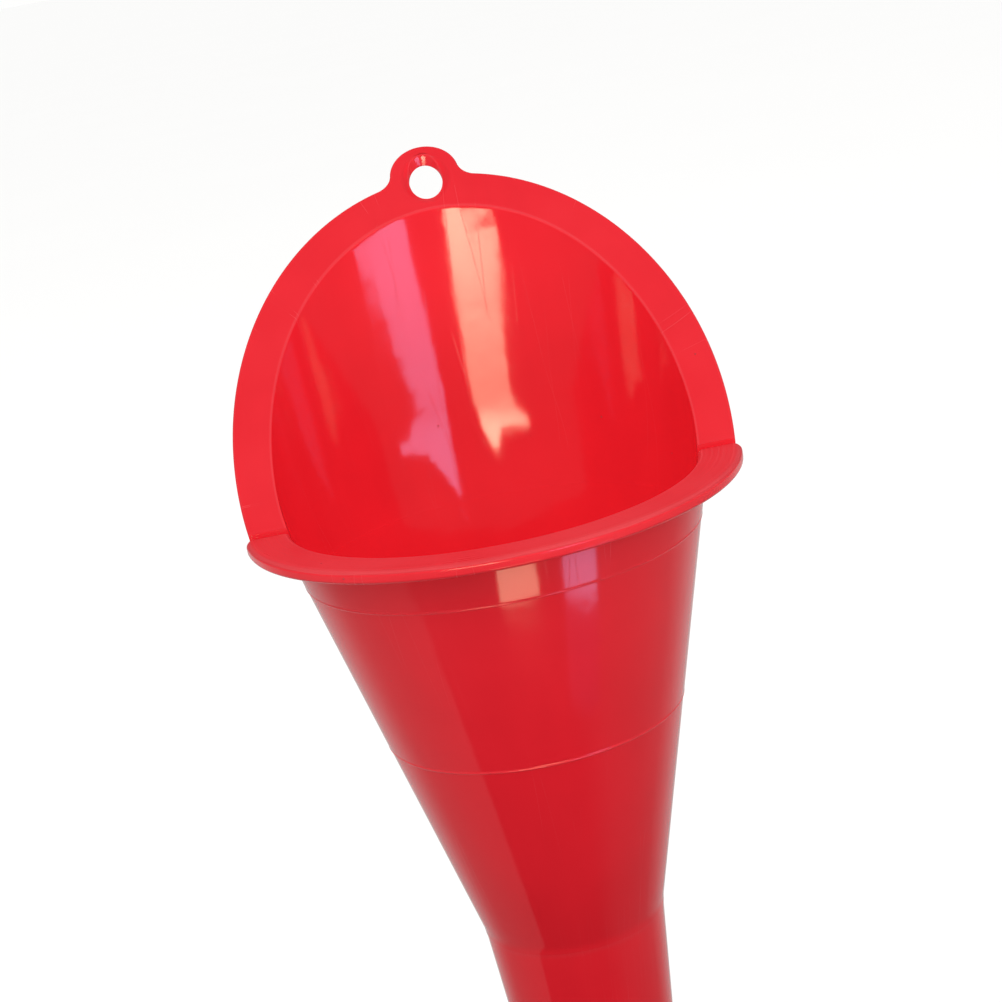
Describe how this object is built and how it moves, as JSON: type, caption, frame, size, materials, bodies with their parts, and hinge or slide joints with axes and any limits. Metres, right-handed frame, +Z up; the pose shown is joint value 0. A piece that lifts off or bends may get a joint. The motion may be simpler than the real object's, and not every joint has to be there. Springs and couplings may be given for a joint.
{
  "type": "funnel",
  "caption": "Long-necked plastic funnel with a scoop mouth: a flat lip at the front, a raised splash shield with a sloping flange and a hanging tab behind.",
  "frame": {"origin": "centre of the outlet, on the axis at the end of the spout", "axes": "+Z up the funnel's axis from the outlet to the mouth, -Y towards the lip, +Y towards the splash shield"},
  "size_m": [0.1004, 0.1094, 0.2881],
  "materials": {
    "red_plastic": "gloss"
  },
  "bodies": {
    "root": {"spout_tip": "red_plastic", "neck": "red_plastic", "bowl_lower": "red_plastic", "bowl_middle": "red_plastic", "bowl_upper": "red_plastic", "front_lip": "red_plastic", "back_shield": "red_plastic", "left_flange": "red_plastic", "right_flange": "red_plastic", "hanging_tab": "red_plastic"}
  },
  "joints": []
}
